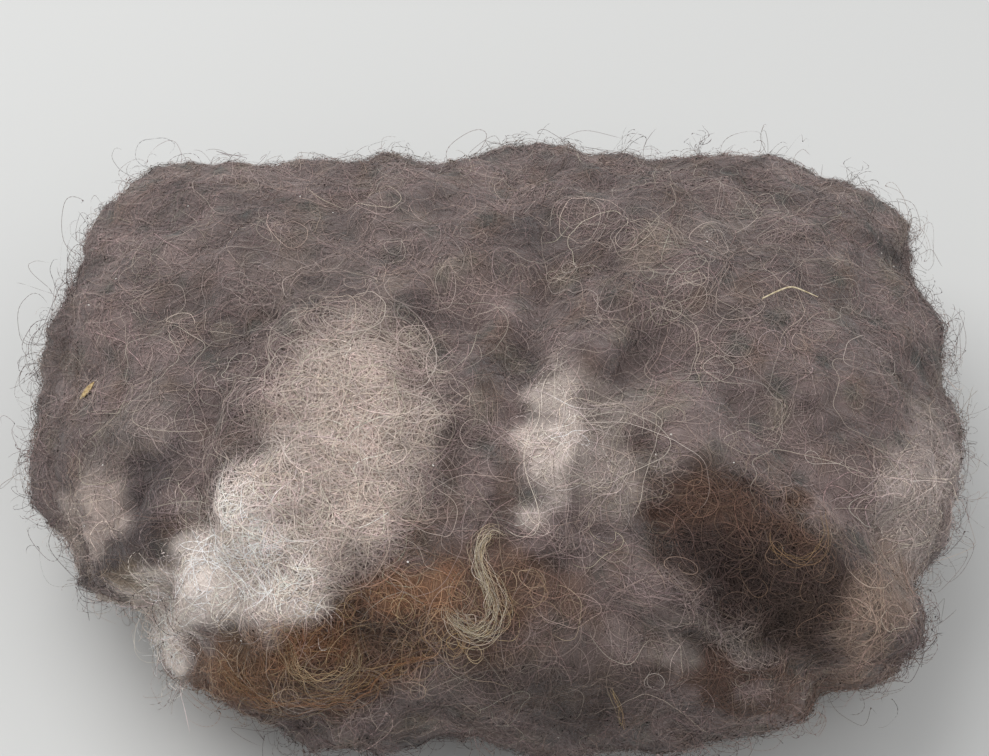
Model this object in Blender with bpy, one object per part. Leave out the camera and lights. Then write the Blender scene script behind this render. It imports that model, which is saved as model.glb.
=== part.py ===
import math

import bmesh
import bpy
import numpy as np

# Raw musk ox wool: one loose mass of down, with its clumps and curls.
# Sizes below are millimetres. MM turns them into metres when a mesh is made.
MM = 0.001

# Main mass. It is a lumpy pillow on a flat underside.
HALF_WIDTH = 104.0
HALF_DEPTH = 79.0
HALF_HEIGHT = 42.0
CENTRE_HEIGHT = 36.5
PLAN_POWER_NEAR = 2.55
PLAN_POWER_FAR = 3.9
SIDE_POWER = 2.35
CELLS_X = 37
CELLS_Y = 27
CELLS_Z = 9

# Picture plane. Forms pressed in from above are placed as they are seen from
# the near side at this height angle, u to the right and v up, about the target.
VIEW_ANGLE = math.radians(50.0)
VIEW_DISTANCE = 600.0
TARGET_Y = 0.0
TARGET_Z = 35.0

# Soft swellings that show: u, v, radius, height.
SWELLINGS = [
    (-98.0, 38.0, 20.0, 9.0),
    (-80.0, 2.0, 22.0, 4.0),
    (-52.0, 30.0, 22.0, 3.0),
    (-45.0, -14.0, 24.0, 5.0),
    (-14.0, 38.0, 16.0, 3.0),
    (10.0, 0.0, 13.0, 2.5),
    (32.0, 38.0, 16.0, 4.0),
    (70.0, 20.0, 26.0, 4.0),
    (92.0, 34.0, 16.0, 4.5),
    (90.0, -2.0, 14.0, 3.0),
    (62.0, -34.0, 20.0, 3.5),
    (18.0, -46.0, 16.0, 3.5),
    (-30.0, -58.0, 18.0, 3.5),
    (40.0, -64.0, 17.0, 4.0),
    (84.0, -52.0, 17.0, 9.0),
    (-92.0, -40.0, 14.0, -2.0),
    (20.0, 24.0, 9.0, -2.0),
    (-66.0, 14.0, 9.0, -2.0),
]

# Soft swellings on the far side and the flanks: x, y, z, radius, height.
FAR_SWELLINGS = [
    (-78.0, 66.0, 30.0, 20.0, 7.0),
    (-38.0, 80.0, 26.0, 16.0, 3.5),
    (4.0, 80.0, 40.0, 18.0, 3.0),
    (46.0, 80.0, 30.0, 22.0, 9.0),
    (92.0, 66.0, 52.0, 15.0, 9.0),
    (-92.0, 66.0, 44.0, 15.0, 8.0),
    (84.0, 62.0, 26.0, 15.0, 4.0),
    (104.0, 10.0, 20.0, 16.0, 3.5),
    (-104.0, -8.0, 22.0, 16.0, 3.5),
    (0.0, 0.0, 0.0, 30.0, 2.0),
]

# Soft troughs where the wool was pressed: depth, half width, then (u, v) points.
TROUGHS = [
    (5.2, 6.2, [(12, 46), (11, 31), (3.5, 14), (6, -3), (10, -12), (24, -22)]),
    (4.8, 6.0, [(38, 21), (48, 14), (71, -6), (93, -26), (104, -40)]),
    (3.8, 5.6, [(38, 21), (29, 14), (24, 7), (22, -14), (24, -22)]),
    (4.6, 5.8, [(35, 17), (33, -7), (38, -17), (48, -28), (67, -44), (78, -63)]),
    (5.0, 6.2, [(0, 36), (-16, 17), (-17, 2), (-8, -14), (7, -28), (33, -45)]),
    (4.0, 6.0, [(-92, -47), (-72, -20), (-68, 0), (-66, 16)]),
    (2.4, 5.6, [(-95, -51), (-47, -50), (0, -48), (60, -47), (104, -47)]),
]

# Fine unevenness of loose fibre: cycles per millimetre in x, y, z, then phase, height.
RIPPLES = [
    (0.021, 0.017, 0.012, 0.3, 1.3),
    (-0.016, 0.027, 0.019, 1.9, 1.1),
    (0.034, -0.012, 0.023, 4.1, 0.9),
    (0.041, 0.038, -0.031, 2.6, 0.7),
    (-0.052, 0.021, 0.044, 5.2, 0.6),
    (0.024, -0.058, 0.037, 0.9, 0.6),
]

# Clumps of other colours: centre u, v, half length, half width, turn in degrees,
# rise above the mass, depth in the mass, wave of the outline.
CLUMPS = {
    "pale_tuft": (-40.5, -4.0, 30.5, 23.5, 74.0, 3.2, 6.5, 0.09),
    "rust_tuft": (-41.0, -53.0, 23.5, 8.3, 16.0, 2.6, 5.0, 0.10),
    "dark_tuft": (61.0, -31.0, 24.0, 17.0, -36.0, 2.6, 6.5, 0.08),
}
CLUMP_GAP = 0.95
CLUMP_RINGS = 5
CLUMP_SPOKES = 32
CLUMP_LEAN = 0.7
RIM_ABOVE = 0.5
RIM_BELOW = 2.4

# Curled coarse lock lying in the wool: u, v, half thickness.
LOCK_PATH = [
    (3.0, -24.5, 0.45),
    (-1.0, -22.6, 0.7),
    (-4.0, -24.2, 0.9),
    (-5.2, -28.0, 1.0),
    (-4.2, -32.4, 1.15),
    (-2.0, -36.4, 1.4),
    (-0.9, -40.8, 1.6),
    (-2.4, -44.8, 1.75),
    (-6.2, -46.8, 1.7),
    (-10.0, -45.0, 1.5),
    (-12.2, -41.6, 1.1),
    (-12.4, -38.4, 0.6),
]
LOCK_SINK = 0.35
LOCK_GAP = 0.55
LOCK_SIDES = 6
LOCK_STEPS = 34

# Seed husk caught in the wool on the left: u, v, length, width, thickness, turn.
HUSK = (-99.0, 11.0, 5.4, 2.2, 0.8, 62.0)
HUSK_GAP = 0.45

# Loose locks that stand out around the rim.
RIM_LOCKS = 96
RIM_LOCK_LENGTH = 13.0
RIM_LOCK_ROOT = 1.6
RIM_LOCK_TIP = 0.35
RIM_LOCK_RINGS = 5
RIM_LOCK_CURL = 1.3
RIM_LOCK_LEAN = 0.4
RIM_LOCK_ROOM = 4.2
RIM_LOCK_FLOOR = 4.0

COLOURS = {
    "wool_mass": (0.139, 0.107, 0.098),
    "pale_tuft": (0.480, 0.400, 0.350),
    "rust_tuft": (0.156, 0.070, 0.038),
    "dark_tuft": (0.048, 0.030, 0.023),
    "blonde_lock": (0.560, 0.470, 0.300),
    "seed_husk": (0.500, 0.330, 0.100),
}

VIEW_SIDE = np.array([1.0, 0.0, 0.0])
VIEW_UP = np.array([0.0, math.sin(VIEW_ANGLE), math.cos(VIEW_ANGLE)])
VIEW_BACK = np.array([0.0, -math.cos(VIEW_ANGLE), math.sin(VIEW_ANGLE)])
TARGET = np.array([0.0, TARGET_Y, TARGET_Z])
CENTRE = np.array([0.0, 0.0, CENTRE_HEIGHT])


def seen_place(points):
    """Place of each point in the picture plane, and its nearness to the eye."""
    rel = points - TARGET
    near = rel @ VIEW_BACK
    scale = VIEW_DISTANCE / (VIEW_DISTANCE - near)
    return (rel @ VIEW_SIDE) * scale, (rel @ VIEW_UP) * scale, near


def plain_radius(ways):
    """Distance from the centre to the plain pillow along each direction."""
    power = np.where(ways[:, 1] < 0.0, PLAN_POWER_NEAR, PLAN_POWER_FAR)
    flat = (np.abs(ways[:, 0]) / HALF_WIDTH) ** power
    flat = flat + (np.abs(ways[:, 1]) / HALF_DEPTH) ** power
    whole = flat ** (SIDE_POWER / power)
    whole = whole + (np.abs(ways[:, 2]) / HALF_HEIGHT) ** SIDE_POWER
    return whole ** (-1.0 / SIDE_POWER)


def distance_to_line(u, v, line):
    """Shortest distance in the picture plane to a line of joined points."""
    best = np.full(u.shape, 1e9)
    for (au, av), (bu, bv) in zip(line[:-1], line[1:]):
        du = bu - au
        dv = bv - av
        share = ((u - au) * du + (v - av) * dv) / (du * du + dv * dv)
        share = np.clip(share, 0.0, 1.0)
        gap = np.hypot(u - au - share * du, v - av - share * dv)
        best = np.minimum(best, gap)
    return best


def smooth_step(low, high, value):
    share = np.clip((value - low) / (high - low), 0.0, 1.0)
    return share * share * (3.0 - 2.0 * share)


def surface(ways):
    """Points of the lumpy wool along directions from its centre."""
    ways = ways / np.linalg.norm(ways, axis=1, keepdims=True)
    plain = plain_radius(ways)
    spots = CENTRE + ways * plain[:, None]
    u, v, near = seen_place(spots)
    facing = smooth_step(-18.0, 8.0, near)
    rise = np.zeros(len(ways))
    for lump_u, lump_v, radius, height in SWELLINGS:
        far = (u - lump_u) ** 2 + (v - lump_v) ** 2
        rise += facing * height * np.exp(-far / (2.0 * radius * radius))
    for x, y, z, radius, height in FAR_SWELLINGS:
        far = np.sum((spots - np.array([x, y, z])) ** 2, axis=1)
        rise += height * np.exp(-far / (2.0 * radius * radius))
    for depth, width, line in TROUGHS:
        gap = distance_to_line(u, v, line)
        rise -= facing * depth * np.exp(-(gap / width) ** 2)
    for wave_x, wave_y, wave_z, phase, height in RIPPLES:
        turn = spots @ np.array([wave_x, wave_y, wave_z])
        rise += height * np.sin(2.0 * math.pi * turn + phase)
    return CENTRE + ways * (plain + rise)[:, None]


def seen_points(u, v):
    """Where the eye's ray through each place of the picture plane meets the wool."""
    u = np.asarray(u, dtype=float)
    v = np.asarray(v, dtype=float)
    eye = TARGET + VIEW_BACK * VIEW_DISTANCE
    aim = TARGET + u[:, None] * VIEW_SIDE + v[:, None] * VIEW_UP - eye
    aim = aim / np.linalg.norm(aim, axis=1, keepdims=True)

    def inside(reach):
        spots = eye + aim * reach[:, None]
        rel = spots - CENTRE
        return np.linalg.norm(surface(rel) - CENTRE, axis=1) > np.linalg.norm(rel, axis=1)

    low = np.full(u.shape, VIEW_DISTANCE - 150.0)
    high = low.copy()
    found = np.zeros(u.shape, dtype=bool)
    for step in range(110):
        trial = VIEW_DISTANCE - 150.0 + step * 2.5
        hit = inside(np.full(u.shape, trial)) & ~found
        high[hit] = trial
        low[hit] = trial - 2.5
        found |= hit
    for _ in range(22):
        middle = (low + high) / 2.0
        hit = inside(middle)
        high = np.where(hit, middle, high)
        low = np.where(hit, low, middle)
    if not found.all():
        raise ValueError("a form lies past the edge of the wool")
    return eye + aim * high[:, None]


def normals_at(points, reach=2.5):
    """Outward directions of the wool at points on it."""
    rel = points - CENTRE
    length = np.linalg.norm(rel, axis=1, keepdims=True)
    way = rel / length
    helper = np.tile(np.array([0.0, 0.0, 1.0]), (len(points), 1))
    helper[np.abs(way[:, 2]) > 0.8] = np.array([0.0, 1.0, 0.0])
    side = np.cross(helper, way)
    side = side / np.linalg.norm(side, axis=1, keepdims=True)
    over = np.cross(way, side)
    small = reach / length
    across = surface(way + side * small) - surface(way - side * small)
    along = surface(way + over * small) - surface(way - over * small)
    out = np.cross(across, along)
    return out / np.linalg.norm(out, axis=1, keepdims=True)


def clear_scene():
    for item in list(bpy.data.objects):
        bpy.data.objects.remove(item, do_unlink=True)
    for group in list(bpy.data.collections):
        bpy.data.collections.remove(group)


def make_material(name, colour):
    material = bpy.data.materials.new(name + "_fibre")
    material.use_nodes = True
    shader = material.node_tree.nodes["Principled BSDF"]
    shader.inputs["Base Color"].default_value = (*colour, 1.0)
    shader.inputs["Roughness"].default_value = 0.9
    shader.inputs["Metallic"].default_value = 0.0
    material.diffuse_color = (*colour, 1.0)
    return material


def make_object(name, points, faces, group, colour=None):
    mesh = bpy.data.meshes.new(name)
    spots = [tuple(float(value) * MM for value in point) for point in points]
    mesh.from_pydata(spots, [], faces)
    mesh.validate()
    work = bmesh.new()
    work.from_mesh(mesh)
    bmesh.ops.recalc_face_normals(work, faces=work.faces)
    work.to_mesh(mesh)
    work.free()
    item = bpy.data.objects.new(name, mesh)
    group.objects.link(item)
    if colour is not None:
        mesh.materials.append(make_material(name, colour))
    return item


def add_boolean(item, cutter, operation):
    step = item.modifiers.new(operation.lower() + "_" + cutter.name, "BOOLEAN")
    step.operation = operation
    step.solver = "EXACT"
    step.object = cutter


def mass_mesh():
    """Grid over a box, blown out to the lumpy pillow and set flat on the floor."""
    counts = (CELLS_X, CELLS_Y, CELLS_Z)
    halves = np.array([HALF_WIDTH, HALF_DEPTH, HALF_HEIGHT])
    index = {}
    lattice = []

    def corner(i, j, k):
        key = (i, j, k)
        if key not in index:
            index[key] = len(lattice)
            lattice.append([2.0 * i / counts[0] - 1.0, 2.0 * j / counts[1] - 1.0,
                            2.0 * k / counts[2] - 1.0])
        return index[key]

    faces = []
    for axis in range(3):
        first, second = [number for number in range(3) if number != axis]
        for side in (0, counts[axis]):
            for a in range(counts[first]):
                for b in range(counts[second]):
                    loop = []
                    for step_a, step_b in ((0, 0), (1, 0), (1, 1), (0, 1)):
                        place = [0, 0, 0]
                        place[axis] = side
                        place[first] = a + step_a
                        place[second] = b + step_b
                        loop.append(corner(*place))
                    faces.append(loop)
    # Bent a little so that cells are of like size where the pillow is round.
    box = np.sin(np.array(lattice) * 0.62) / math.sin(0.62)
    points = surface(box * halves)
    points[:, 2] = np.maximum(points[:, 2], 0.0)
    return points, faces


def merge_flat_underside(item):
    """Join the level faces of the underside."""
    work = bmesh.new()
    work.from_mesh(item.data)
    edges = [edge for edge in work.edges
             if all(abs(vert.co.z) < 1e-7 for face in edge.link_faces for vert in face.verts)]
    bmesh.ops.dissolve_limit(work, angle_limit=0.001, verts=[], edges=edges)
    work.to_mesh(item.data)
    work.free()


def clump_mesh(numbers, grow):
    """A flat clump sunk in the wool. With grow it is the socket's cutter."""
    centre_u, centre_v, half_length, half_width, turn, rise, depth, wave = numbers
    shares = [(ring / CLUMP_RINGS) ** 0.8 for ring in range(1, CLUMP_RINGS + 1)]
    angles = [2.0 * math.pi * spoke / CLUMP_SPOKES for spoke in range(CLUMP_SPOKES)]
    cos_t = math.cos(math.radians(turn))
    sin_t = math.sin(math.radians(turn))
    u = [centre_u]
    v = [centre_v]
    rings = [0.0]
    for share in shares:
        for angle in angles:
            wavy = 1.0 + wave * math.sin(3.0 * angle + 0.6) + 0.6 * wave * math.sin(5.0 * angle + 2.1)
            along = (half_length * wavy + grow) * share * math.cos(angle)
            across = (half_width * wavy + grow) * share * math.sin(angle)
            u.append(centre_u + along * cos_t - across * sin_t)
            v.append(centre_v + along * sin_t + across * cos_t)
            rings.append(share)
    base = seen_points(u, v)
    out = normals_at(base, 8.0)
    mean = out.mean(axis=0)
    out = CLUMP_LEAN * mean / np.linalg.norm(mean) + (1.0 - CLUMP_LEAN) * out
    out = out / np.linalg.norm(out, axis=1, keepdims=True)
    ring = np.array(rings)
    lift = RIM_ABOVE + (rise - RIM_ABOVE) * (1.0 - ring ** 2.2)
    sink = RIM_BELOW + (depth - RIM_BELOW) * (1.0 - ring ** 3.0)
    if grow > 0.0:
        lift = lift + 6.0
        sink = sink + grow
    upper = base + out * lift[:, None]
    lower = base - out * sink[:, None]
    count = len(base)
    points = np.vstack([upper, lower])
    faces = []
    for level in (0, count):
        for spoke in range(CLUMP_SPOKES):
            after = (spoke + 1) % CLUMP_SPOKES
            faces.append((level, level + 1 + spoke, level + 1 + after))
            for ring_number in range(len(shares) - 1):
                inner = level + 1 + ring_number * CLUMP_SPOKES
                outer = inner + CLUMP_SPOKES
                faces.append((inner + spoke, outer + spoke, outer + after, inner + after))
    edge = 1 + (len(shares) - 1) * CLUMP_SPOKES
    for spoke in range(CLUMP_SPOKES):
        after = (spoke + 1) % CLUMP_SPOKES
        faces.append((edge + spoke, edge + after, count + edge + after, count + edge + spoke))
    return points, faces


def smooth_path(rows, steps):
    """Even steps along a soft curve through the rows of a table."""
    rows = np.array(rows, dtype=float)
    last = len(rows) - 1
    out = []
    for step in range(steps + 1):
        place = last * step / steps
        number = min(int(place), last - 1)
        share = place - number
        before = rows[max(number - 1, 0)]
        start = rows[number]
        end = rows[number + 1]
        after = rows[min(number + 2, last)]
        value = 0.5 * (2.0 * start + (end - before) * share
                       + (2.0 * before - 5.0 * start + 4.0 * end - after) * share ** 2
                       + (3.0 * start - before - 3.0 * end + after) * share ** 3)
        out.append(value)
    return np.array(out)


def tube(path, radii, sides, out):
    """A closed tube along a path, with a point at each end."""
    path = np.asarray(path)
    ahead = np.gradient(path, axis=0)
    ahead = ahead / np.linalg.norm(ahead, axis=1, keepdims=True)
    side = np.cross(ahead, out)
    side = side / np.linalg.norm(side, axis=1, keepdims=True)
    over = np.cross(side, ahead)
    points = []
    faces = []
    for number in range(len(path)):
        for corner in range(sides):
            angle = 2.0 * math.pi * corner / sides
            offset = side[number] * math.cos(angle) + over[number] * math.sin(angle)
            points.append(path[number] + offset * radii[number])
    for number in range(len(path) - 1):
        for corner in range(sides):
            after = (corner + 1) % sides
            a = number * sides
            b = a + sides
            faces.append((a + corner, a + after, b + after, b + corner))
    start = len(points)
    points.append(path[0] - ahead[0] * radii[0])
    points.append(path[-1] + ahead[-1] * radii[-1])
    end = (len(path) - 1) * sides
    for corner in range(sides):
        after = (corner + 1) % sides
        faces.append((start, corner, after))
        faces.append((start + 1, end + after, end + corner))
    return points, faces


def curled_lock_mesh(grow):
    rows = smooth_path(LOCK_PATH, LOCK_STEPS)
    base = seen_points(rows[:, 0], rows[:, 1])
    out = normals_at(base, 5.0)
    for _ in range(2):
        out[1:-1] = out[:-2] + out[1:-1] + out[2:]
        out = out / np.linalg.norm(out, axis=1, keepdims=True)
        base[1:-1] = (base[:-2] + 2.0 * base[1:-1] + base[2:]) / 4.0
    radii = rows[:, 2] + grow
    path = base + out * (rows[:, 2] * (1.0 - LOCK_SINK * 2.0))[:, None]
    return tube(path, radii, LOCK_SIDES, out)


def husk_mesh():
    u, v, length, width, thickness, turn = HUSK
    base = seen_points([u], [v])
    out = normals_at(base, 6.0)[0]
    side = np.cross(VIEW_UP, out)
    side = side / np.linalg.norm(side)
    over = np.cross(out, side)
    cos_t = math.cos(math.radians(turn))
    sin_t = math.sin(math.radians(turn))
    along = side * cos_t + over * sin_t
    across = over * cos_t - side * sin_t
    middle = base[0] + out * (HUSK_GAP + thickness / 2.0)
    steps = 9
    points = []
    faces = []
    for step in range(1, steps):
        share = step / steps
        wide = width / 2.0 * math.sin(math.pi * share) ** 0.8
        thick = thickness / 2.0 * math.sin(math.pi * share) ** 0.6
        for corner in range(8):
            angle = 2.0 * math.pi * corner / 8
            spot = middle + along * (share - 0.5) * length
            points.append(spot + across * wide * math.cos(angle) + out * thick * math.sin(angle))
    for step in range(steps - 2):
        for corner in range(8):
            after = (corner + 1) % 8
            a = step * 8
            faces.append((a + corner, a + after, a + 8 + after, a + 8 + corner))
    start = len(points)
    points.append(middle - along * length * 0.5)
    points.append(middle + along * length * 0.5)
    end = (steps - 2) * 8
    for corner in range(8):
        after = (corner + 1) % 8
        faces.append((start, corner, after))
        faces.append((start + 1, end + after, end + corner))
    return points, faces


def near_clump(point):
    """Whether a point that faces the eye lies on a clump or just beside it."""
    u, v, near = seen_place(point.reshape(1, 3))
    if near[0] < -10.0:
        return False
    for centre_u, centre_v, half_length, half_width, turn, _, _, _ in CLUMPS.values():
        cos_t = math.cos(math.radians(turn))
        sin_t = math.sin(math.radians(turn))
        along = (u[0] - centre_u) * cos_t + (v[0] - centre_v) * sin_t
        across = (v[0] - centre_v) * cos_t - (u[0] - centre_u) * sin_t
        if math.hypot(along / (half_length + 6.0), across / (half_width + 6.0)) < 1.0:
            return True
    return False


def rim_lock_meshes():
    """Short curved locks around the rim, their roots inside the mass."""
    points = []
    faces = []
    taken = []
    for number in range(RIM_LOCKS):
        around = 2.0 * math.pi * (number + 0.3 * math.sin(7.3 * number)) / RIM_LOCKS
        level = (0.10, -0.26, 0.34, -0.08, 0.52)[number % 5] + 0.05 * math.sin(3.1 * number)
        way = np.array([[HALF_WIDTH * math.cos(around), HALF_DEPTH * math.sin(around),
                         HALF_HEIGHT * level * 1.3]])
        root = surface(way)
        out = normals_at(root, 6.0)[0]
        side = np.cross(np.array([0.0, 0.0, 1.0]), out)
        side = side / np.linalg.norm(side)
        over = np.cross(out, side)
        length = RIM_LOCK_LENGTH * (1.0 + 0.35 * math.sin(2.7 * number + 0.4))
        lean = 2.4 * math.sin(1.9 * number)
        bend = side * math.cos(lean) + over * math.sin(lean)
        curl = RIM_LOCK_CURL * (1.0 + 0.3 * math.sin(4.3 * number))
        step = length / (RIM_LOCK_RINGS - 1)
        spot = root[0] - out * 2.4
        path = []
        radii = []
        for ring in range(RIM_LOCK_RINGS):
            share = ring / (RIM_LOCK_RINGS - 1)
            path.append(spot)
            radii.append(RIM_LOCK_ROOT + (RIM_LOCK_TIP - RIM_LOCK_ROOT) * share ** 0.8)
            turn = RIM_LOCK_LEAN + curl * share
            spot = spot + (out * math.cos(turn) + bend * math.sin(turn)) * step
        # A lock too near the floor, a clump or one already placed is left out.
        crowded = min(place[2] for place in path) < RIM_LOCK_FLOOR
        crowded = crowded or any(near_clump(place) for place in path)
        for other in taken:
            gaps = np.linalg.norm(np.array(path)[:, None, :] - other[None, :, :], axis=2)
            crowded = crowded or gaps.min() < RIM_LOCK_ROOM
        if crowded:
            continue
        taken.append(np.array(path))
        more_points, more_faces = tube(path, radii, 3, np.cross(out, bend))
        first = len(points)
        points.extend(more_points)
        faces.extend([tuple(corner + first for corner in face) for face in more_faces])
    return points, faces


def shift_to_origin(items):
    """Centre the part over the origin, with its underside at height nought."""
    low = np.full(3, 1e9)
    high = np.full(3, -1e9)
    graph = bpy.context.evaluated_depsgraph_get()
    for item in items:
        mesh = item.evaluated_get(graph).to_mesh()
        spots = np.empty(len(mesh.vertices) * 3)
        mesh.vertices.foreach_get("co", spots)
        spots = spots.reshape(-1, 3)
        low = np.minimum(low, spots.min(axis=0))
        high = np.maximum(high, spots.max(axis=0))
        item.evaluated_get(graph).to_mesh_clear()
    return -np.array([(low[0] + high[0]) / 2.0, (low[1] + high[1]) / 2.0, low[2]])


def build():
    clear_scene()
    scene = bpy.context.scene
    scene.unit_settings.system = "METRIC"
    group = bpy.data.collections.new("raw_musk_ox_wool")
    cutters = bpy.data.collections.new("cutters")
    scene.collection.children.link(group)
    scene.collection.children.link(cutters)

    points, faces = mass_mesh()
    mass = make_object("wool_mass", points, faces, group, COLOURS["wool_mass"])
    merge_flat_underside(mass)
    locks_points, locks_faces = rim_lock_meshes()
    rim_locks = make_object("rim_locks", locks_points, locks_faces, cutters)
    add_boolean(mass, rim_locks, "UNION")

    pieces = [mass]
    tools = [rim_locks]
    for name, numbers in CLUMPS.items():
        points, faces = clump_mesh(numbers, 0.0)
        pieces.append(make_object(name, points, faces, group, COLOURS[name]))
        points, faces = clump_mesh(numbers, CLUMP_GAP)
        socket = make_object(name + "_socket", points, faces, cutters)
        add_boolean(mass, socket, "DIFFERENCE")
        tools.append(socket)

    points, faces = curled_lock_mesh(0.0)
    pieces.append(make_object("blonde_lock", points, faces, group, COLOURS["blonde_lock"]))
    points, faces = curled_lock_mesh(LOCK_GAP)
    groove = make_object("lock_groove", points, faces, cutters)
    add_boolean(mass, groove, "DIFFERENCE")
    tools.append(groove)

    points, faces = husk_mesh()
    pieces.append(make_object("seed_husk", points, faces, group, COLOURS["seed_husk"]))

    for tool in tools:
        tool.hide_render = True
        tool.display_type = "WIRE"

    bpy.context.view_layer.update()
    shift = shift_to_origin(pieces)
    for item in pieces + tools:
        for vert in item.data.vertices:
            vert.co.x += shift[0]
            vert.co.y += shift[1]
            vert.co.z += shift[2]
        item.data.update()
    bpy.context.view_layer.update()


build()
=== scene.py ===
import math

import bpy
import numpy as np
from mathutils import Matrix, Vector


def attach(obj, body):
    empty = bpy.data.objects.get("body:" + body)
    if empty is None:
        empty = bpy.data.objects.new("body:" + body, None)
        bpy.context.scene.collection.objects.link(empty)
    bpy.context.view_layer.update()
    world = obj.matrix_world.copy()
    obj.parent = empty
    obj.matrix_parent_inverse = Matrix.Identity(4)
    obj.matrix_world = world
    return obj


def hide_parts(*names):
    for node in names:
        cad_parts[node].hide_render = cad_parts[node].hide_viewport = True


# Raw musk ox wool, dressed: fine bodies under many thousands of separate hairs.
# Sizes below are millimetres. MM turns them into metres when a mesh is made.
MM = 0.001

# Main mass: the same lumpy pillow as its solid, on a finer grid.
HALF_WIDTH = 104.0
HALF_DEPTH = 79.0
HALF_HEIGHT = 42.0
CENTRE_HEIGHT = 36.5
PLAN_POWER_NEAR = 2.55
PLAN_POWER_FAR = 3.9
SIDE_POWER = 2.35
CELLS = (112, 84, 38)
# The cells crowd a little toward the edges of the box that they start from.
CELL_BEND = 0.62
# The solids lie centred over the part's origin, this far from the pillow's centre.
PLACE = np.array([1.474, -1.025, 0.0])
FLOOR_GAP = 0.12

# Picture plane. Forms are placed as they are seen from the near side at this
# height angle, u to the right and v up, about the target.
VIEW_ANGLE = math.radians(50.0)
VIEW_DISTANCE = 600.0
TARGET_Z = 35.0

# Soft swellings that show: u, v, radius, height.
SWELLINGS = [
    (-98, 38, 20, 9),
    (-80, 2, 22, 4),
    (-52, 30, 22, 3),
    (-45, -14, 24, 5),
    (-14, 38, 16, 3),
    (10, 0, 13, 2.5),
    (32, 38, 16, 4),
    (70, 20, 26, 4),
    (92, 34, 16, 4.5),
    (90, -2, 14, 3),
    (62, -34, 20, 3.5),
    (18, -46, 16, 3.5),
    (-30, -58, 18, 3.5),
    (40, -64, 17, 4),
    (84, -52, 17, 9),
    (-92, -40, 14, -2),
    (20, 24, 9, -2),
    (-66, 14, 9, -2),
]

# Soft swellings on the far side and the flanks: x, y, z, radius, height.
FAR_SWELLINGS = [
    (-78, 66, 30, 20, 7),
    (-38, 80, 26, 16, 3.5),
    (4, 80, 40, 18, 3),
    (46, 80, 30, 22, 9),
    (92, 66, 52, 15, 9),
    (-92, 66, 44, 15, 8),
    (84, 62, 26, 15, 4),
    (104, 10, 20, 16, 3.5),
    (-104, -8, 22, 16, 3.5),
    (0, 0, 0, 30, 2),
]

# Soft troughs where the wool was pressed: depth, half width, then (u, v) points.
TROUGHS = [
    (5.2, 6.2, [(12, 46), (11, 31), (3.5, 14), (6, -3), (10, -12), (24, -22)]),
    (4.8, 6.0, [(38, 21), (48, 14), (71, -6), (93, -26), (104, -40)]),
    (3.8, 5.6, [(38, 21), (29, 14), (24, 7), (22, -14), (24, -22)]),
    (4.6, 5.8, [(35, 17), (33, -7), (38, -17), (48, -28), (67, -44), (78, -63)]),
    (5.0, 6.2, [(0, 36), (-16, 17), (-17, 2), (-8, -14), (7, -28), (33, -45)]),
    (4.0, 6.0, [(-92, -47), (-72, -20), (-68, 0), (-66, 16)]),
    (2.4, 5.6, [(-95, -51), (-47, -50), (0, -48), (60, -47), (104, -47)]),
]

# Fine unevenness of loose fibre: cycles per millimetre in x, y, z, then phase, height.
RIPPLES = [
    (0.021, 0.017, 0.012, 0.3, 1.3),
    (-0.016, 0.027, 0.019, 1.9, 1.1),
    (0.034, -0.012, 0.023, 4.1, 0.9),
    (0.041, 0.038, -0.031, 2.6, 0.7),
    (-0.052, 0.021, 0.044, 5.2, 0.6),
    (0.024, -0.058, 0.037, 0.9, 0.6),
]

# Clumps: centre u, v, half length, half width, turn, rise, depth, wave of the outline.
CLUMPS = {
    "pale_tuft": (-40.5, -4, 30.5, 23.5, 74, 3.2, 6.5, 0.09),
    "rust_tuft": (-41, -53, 23.5, 8.3, 16, 2.6, 5, 0.1),
    "dark_tuft": (61, -31, 24, 17, -36, 2.6, 6.5, 0.08),
}
CLUMP_RINGS = 24
CLUMP_SPOKES = 110
CLUMP_LEAN = 0.7
RIM_ABOVE = 0.5
RIM_BELOW = 2.4
CLUMP_UNDER = 0.9

# Curled coarse lock: u, v, half thickness.
LOCK_PATH = [
    (3, -24.5, 0.45),
    (-1, -22.6, 0.7),
    (-4, -24.2, 0.9),
    (-5.2, -28, 1),
    (-4.2, -32.4, 1.15),
    (-2, -36.4, 1.4),
    (-0.9, -40.8, 1.6),
    (-2.4, -44.8, 1.75),
    (-6.2, -46.8, 1.7),
    (-10, -45, 1.5),
    (-12.2, -41.6, 1.1),
    (-12.4, -38.4, 0.6),
]

# Seed husk: u, v, length, width, thickness, turn, gap below it.
HUSK = (-99.0, 11.0, 5.4, 2.2, 0.8, 62.0, 0.45)
HUSK_STEPS = 30
HUSK_SIDES = 36

# Locks around the rim, on the curves of the solid's locks.
RIM_LOCKS = 96
RIM_LOCK_LENGTH = 13.0
RIM_LOCK_RINGS = 5
RIM_LOCK_CURL = 1.3
RIM_LOCK_LEAN = 0.4
RIM_LOCK_ROOM = 4.2
RIM_LOCK_FLOOR = 4.0

# Colours of the wool in linear light.
TAUPE = (0.210, 0.156, 0.144)
PALE = (0.600, 0.490, 0.430)
RUST = (0.240, 0.105, 0.048)
DARK = (0.066, 0.042, 0.033)
CREAM = (0.600, 0.520, 0.430)
STRAW = (0.500, 0.380, 0.235)
GOLD = (0.330, 0.200, 0.085)
BROWN = (0.190, 0.110, 0.070)

# Lines of hair in the matted down: scale of the noise, width, place in it.
TANGLE_LINES = ((380.0, 0.03, 0.0), (620.0, 0.04, 3.1), (950.0, 0.06, 7.7))

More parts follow.
